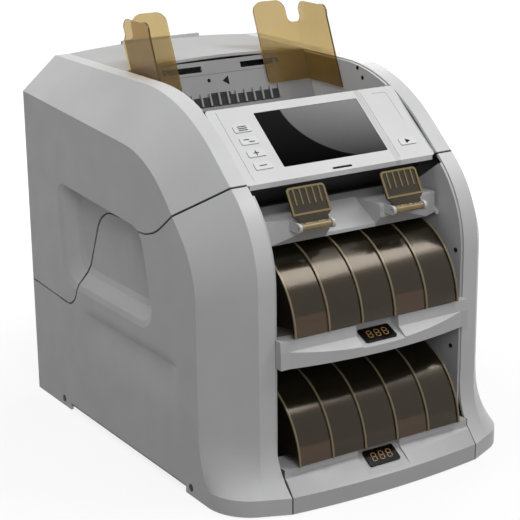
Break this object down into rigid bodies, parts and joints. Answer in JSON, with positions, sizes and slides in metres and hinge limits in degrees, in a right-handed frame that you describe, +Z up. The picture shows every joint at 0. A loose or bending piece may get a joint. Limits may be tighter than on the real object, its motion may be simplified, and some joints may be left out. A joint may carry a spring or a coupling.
{
  "type": "banknote counting machine",
  "caption": "Desktop banknote counter with a sloping touch screen panel, amber note guides, a reject pocket and amber-covered stacker pockets.",
  "frame": {"origin": "under the middle of the machine, on the plane that its feet rest on", "axes": "+X to the right seen from the front, +Y towards the back, +Z up"},
  "size_m": [0.346, 0.4468, 0.4392],
  "materials": {
    "housing_grey": "fine grain",
    "panel_silver": "satin",
    "screen_glass": "polished",
    "trim_grey": "satin",
    "inner_black": "satin",
    "amber_clear": "clear tinted",
    "button_grey": "satin",
    "frame_steel": "powder coat",
    "bare_steel": "plain",
    "roller_rubber": "ground",
    "wheel_grey": "satin",
    "board_green": "satin",
    "display_black": "polished"
  },
  "bodies": {
    "lower_unit": {"base_plate": "frame_steel", "left_lower_housing": "housing_grey", "right_lower_housing": "housing_grey", "rear_panel": "housing_grey", "front_base": "trim_grey", "left_side_frame": "frame_steel", "right_side_frame": "frame_steel", "upper_stacker_tray": "trim_grey", "lower_stacker_tray": "inner_black", "reject_tray": "trim_grey", "count_displays": "display_black", "upper_pocket_back": "inner_black", "lower_pocket_back": "inner_black", "lower_transport_guide": "inner_black", "lower_sensor_bar": "inner_black", "drive_motor": "bare_steel", "drive_belt": "roller_rubber", "power_supply": "bare_steel", "main_board": "board_green", "power_inlet": "inner_black", "rubber_feet": "roller_rubber", "housing_screws": "bare_steel", "hinge_pins": "bare_steel", "cover_pivots": "bare_steel"},
    "upper_unit": {"left_upper_housing": "housing_grey", "right_upper_housing": "housing_grey", "rear_top_cover": "housing_grey", "control_panel": "panel_silver", "touch_screen": "screen_glass", "left_upper_frame": "frame_steel", "right_upper_frame": "frame_steel", "hopper_back_plate": "trim_grey", "hopper_floor": "inner_black", "upper_transport_guide": "inner_black", "upper_sensor_bar": "inner_black", "feed_motor": "bare_steel"},
    "upper_pocket_cover_body": {"upper_pocket_cover": "amber_clear"},
    "lower_pocket_cover_body": {"lower_pocket_cover": "amber_clear"},
    "left_stopper_body": {"left_stopper": "amber_clear"},
    "right_stopper_body": {"right_stopper": "amber_clear"},
    "upper_stacker_wheel_body": {"upper_stacker_wheel": "wheel_grey"},
    "lower_stacker_wheel_body": {"lower_stacker_wheel": "wheel_grey"},
    "transport_drum_body": {"transport_drum": "roller_rubber"},
    "transport_roller_body": {"transport_roller": "roller_rubber"},
    "motor_pulley_body": {"motor_pulley": "bare_steel"},
    "upper_diverter_body": {"upper_diverter": "inner_black"},
    "lower_diverter_body": {"lower_diverter": "inner_black"},
    "power_switch_body": {"power_switch": "inner_black"},
    "menu_button_1_body": {"menu_button_1": "button_grey"},
    "menu_button_2_body": {"menu_button_2": "button_grey"},
    "menu_button_3_body": {"menu_button_3": "button_grey"},
    "menu_button_4_body": {"menu_button_4": "button_grey"},
    "start_button_body": {"start_button": "button_grey"},
    "left_note_guide_body": {"left_note_guide": "amber_clear"},
    "right_note_guide_body": {"right_note_guide": "amber_clear"},
    "guide_pinion_body": {"guide_pinion": "bare_steel"},
    "pickup_roller_body": {"pickup_roller": "roller_rubber"},
    "feed_roller_body": {"feed_roller": "roller_rubber"},
    "retard_roller_body": {"retard_roller": "roller_rubber"},
    "idler_roller_body": {"idler_roller": "roller_rubber"}
  },
  "joints": [
    {"name": "upper_unit_hinge", "type": "hinge", "parent": "lower_unit", "child": "upper_unit", "pos_m": [0, 0.2115, 0.146], "axis": [-1, 0, 0], "range_deg": [0, 60]},
    {"name": "menu_button_1_press", "type": "slide", "parent": "upper_unit", "child": "menu_button_1_body", "axis": [0, 0.6198, -0.7848], "range_m": [0, 0.0012], "stiffness_N_per_m": 400},
    {"name": "menu_button_2_press", "type": "slide", "parent": "upper_unit", "child": "menu_button_2_body", "axis": [0, 0.6198, -0.7848], "range_m": [0, 0.0012], "stiffness_N_per_m": 400},
    {"name": "menu_button_3_press", "type": "slide", "parent": "upper_unit", "child": "menu_button_3_body", "axis": [0, 0.6198, -0.7848], "range_m": [0, 0.0012], "stiffness_N_per_m": 400},
    {"name": "menu_button_4_press", "type": "slide", "parent": "upper_unit", "child": "menu_button_4_body", "axis": [0, 0.6198, -0.7848], "range_m": [0, 0.0012], "stiffness_N_per_m": 400},
    {"name": "start_button_press", "type": "slide", "parent": "upper_unit", "child": "start_button_body", "axis": [0, 0.6198, -0.7848], "range_m": [0, 0.0012], "stiffness_N_per_m": 400},
    {"name": "left_guide_slide", "type": "slide", "parent": "upper_unit", "child": "left_note_guide_body", "axis": [1, 0, 0], "range_m": [0, 0.04]},
    {"name": "right_guide_slide", "type": "slide", "parent": "upper_unit", "child": "right_note_guide_body", "axis": [-1, 0, 0], "range_m": [0, 0.04]},
    {"name": "guide_pinion_turn", "type": "hinge", "parent": "upper_unit", "child": "guide_pinion_body", "pos_m": [0, 0.08903, 0.37711], "axis": [0, 0.9245, -0.3811], "range_deg": [0, 458.37]},
    {"name": "pickup_roller_turn", "type": "hinge", "parent": "upper_unit", "child": "pickup_roller_body", "pos_m": [0, 0.07949, 0.31723], "axis": [1, 0, 0], "continuous": true},
    {"name": "feed_roller_turn", "type": "hinge", "parent": "upper_unit", "child": "feed_roller_body", "pos_m": [0, 0.0685, 0.2785], "axis": [1, 0, 0], "continuous": true},
    {"name": "retard_roller_turn", "type": "hinge", "parent": "upper_unit", "child": "retard_roller_body", "pos_m": [0, 0.03873, 0.29077], "axis": [1, 0, 0], "continuous": true},
    {"name": "idler_roller_turn", "type": "hinge", "parent": "upper_unit", "child": "idler_roller_body", "pos_m": [0, 0.09327, 0.21948], "axis": [1, 0, 0], "continuous": true},
    {"name": "transport_drum_turn", "type": "hinge", "parent": "lower_unit", "child": "transport_drum_body", "pos_m": [0, 0.08786, 0.13119], "axis": [1, 0, 0], "continuous": true},
    {"name": "transport_roller_turn", "type": "hinge", "parent": "lower_unit", "child": "transport_roller_body", "pos_m": [0, 0.06957, 0.20931], "axis": [1, 0, 0], "continuous": true},
    {"name": "motor_pulley_turn", "type": "hinge", "parent": "lower_unit", "child": "motor_pulley_body", "pos_m": [0, 0.165, 0.06], "axis": [1, 0, 0], "continuous": true},
    {"name": "upper_stacker_wheel_turn", "type": "hinge", "parent": "lower_unit", "child": "upper_stacker_wheel_body", "pos_m": [0, -0.0075, 0.2], "axis": [1, 0, 0], "continuous": true},
    {"name": "lower_stacker_wheel_turn", "type": "hinge", "parent": "lower_unit", "child": "lower_stacker_wheel_body", "pos_m": [0, -0.0155, 0.08], "axis": [1, 0, 0], "continuous": true},
    {"name": "upper_pocket_cover_lift", "type": "hinge", "parent": "lower_unit", "child": "upper_pocket_cover_body", "pos_m": [0, -0.1195, 0.168], "axis": [-1, 0, 0], "range_deg": [0, 70]},
    {"name": "lower_pocket_cover_lift", "type": "hinge", "parent": "lower_unit", "child": "lower_pocket_cover_body", "pos_m": [0, -0.1265, 0.038], "axis": [-1, 0, 0], "range_deg": [0, 70]},
    {"name": "left_stopper_fold", "type": "hinge", "parent": "lower_unit", "child": "left_stopper_body", "pos_m": [-0.0555, -0.17, 0.269], "axis": [1, 0, 0], "range_deg": [0, 80]},
    {"name": "right_stopper_fold", "type": "hinge", "parent": "lower_unit", "child": "right_stopper_body", "pos_m": [0.0555, -0.17, 0.269], "axis": [1, 0, 0], "range_deg": [0, 80]},
    {"name": "upper_diverter_swing", "type": "hinge", "parent": "lower_unit", "child": "upper_diverter_body", "pos_m": [0, 0.042, 0.214], "axis": [-1, 0, 0], "range_deg": [0, 20]},
    {"name": "lower_diverter_swing", "type": "hinge", "parent": "lower_unit", "child": "lower_diverter_body", "pos_m": [0, 0.04, 0.1], "axis": [-1, 0, 0], "range_deg": [0, 20]},
    {"name": "power_switch_rock", "type": "hinge", "parent": "lower_unit", "child": "power_switch_body", "pos_m": [0.02, 0.2185, 0.04], "axis": [1, 0, 0], "range_deg": [0, 12]}
  ],
  "couplings": [
    {"joint": "right_guide_slide", "follows": "left_guide_slide", "ratio": 1},
    {"joint": "guide_pinion_turn", "follows": "left_guide_slide", "rad_per_m": 200},
    {"joint": "pickup_roller_turn", "follows": "feed_roller_turn", "ratio": 1.125},
    {"joint": "retard_roller_turn", "follows": "feed_roller_turn", "ratio": 0.25},
    {"joint": "transport_roller_turn", "follows": "transport_drum_turn", "ratio": 2},
    {"joint": "idler_roller_turn", "follows": "transport_drum_turn", "ratio": -2.8},
    {"joint": "motor_pulley_turn", "follows": "transport_drum_turn", "ratio": 1.6},
    {"joint": "upper_stacker_wheel_turn", "follows": "transport_drum_turn", "ratio": 0.25},
    {"joint": "lower_stacker_wheel_turn", "follows": "transport_drum_turn", "ratio": 0.25}
  ]
}
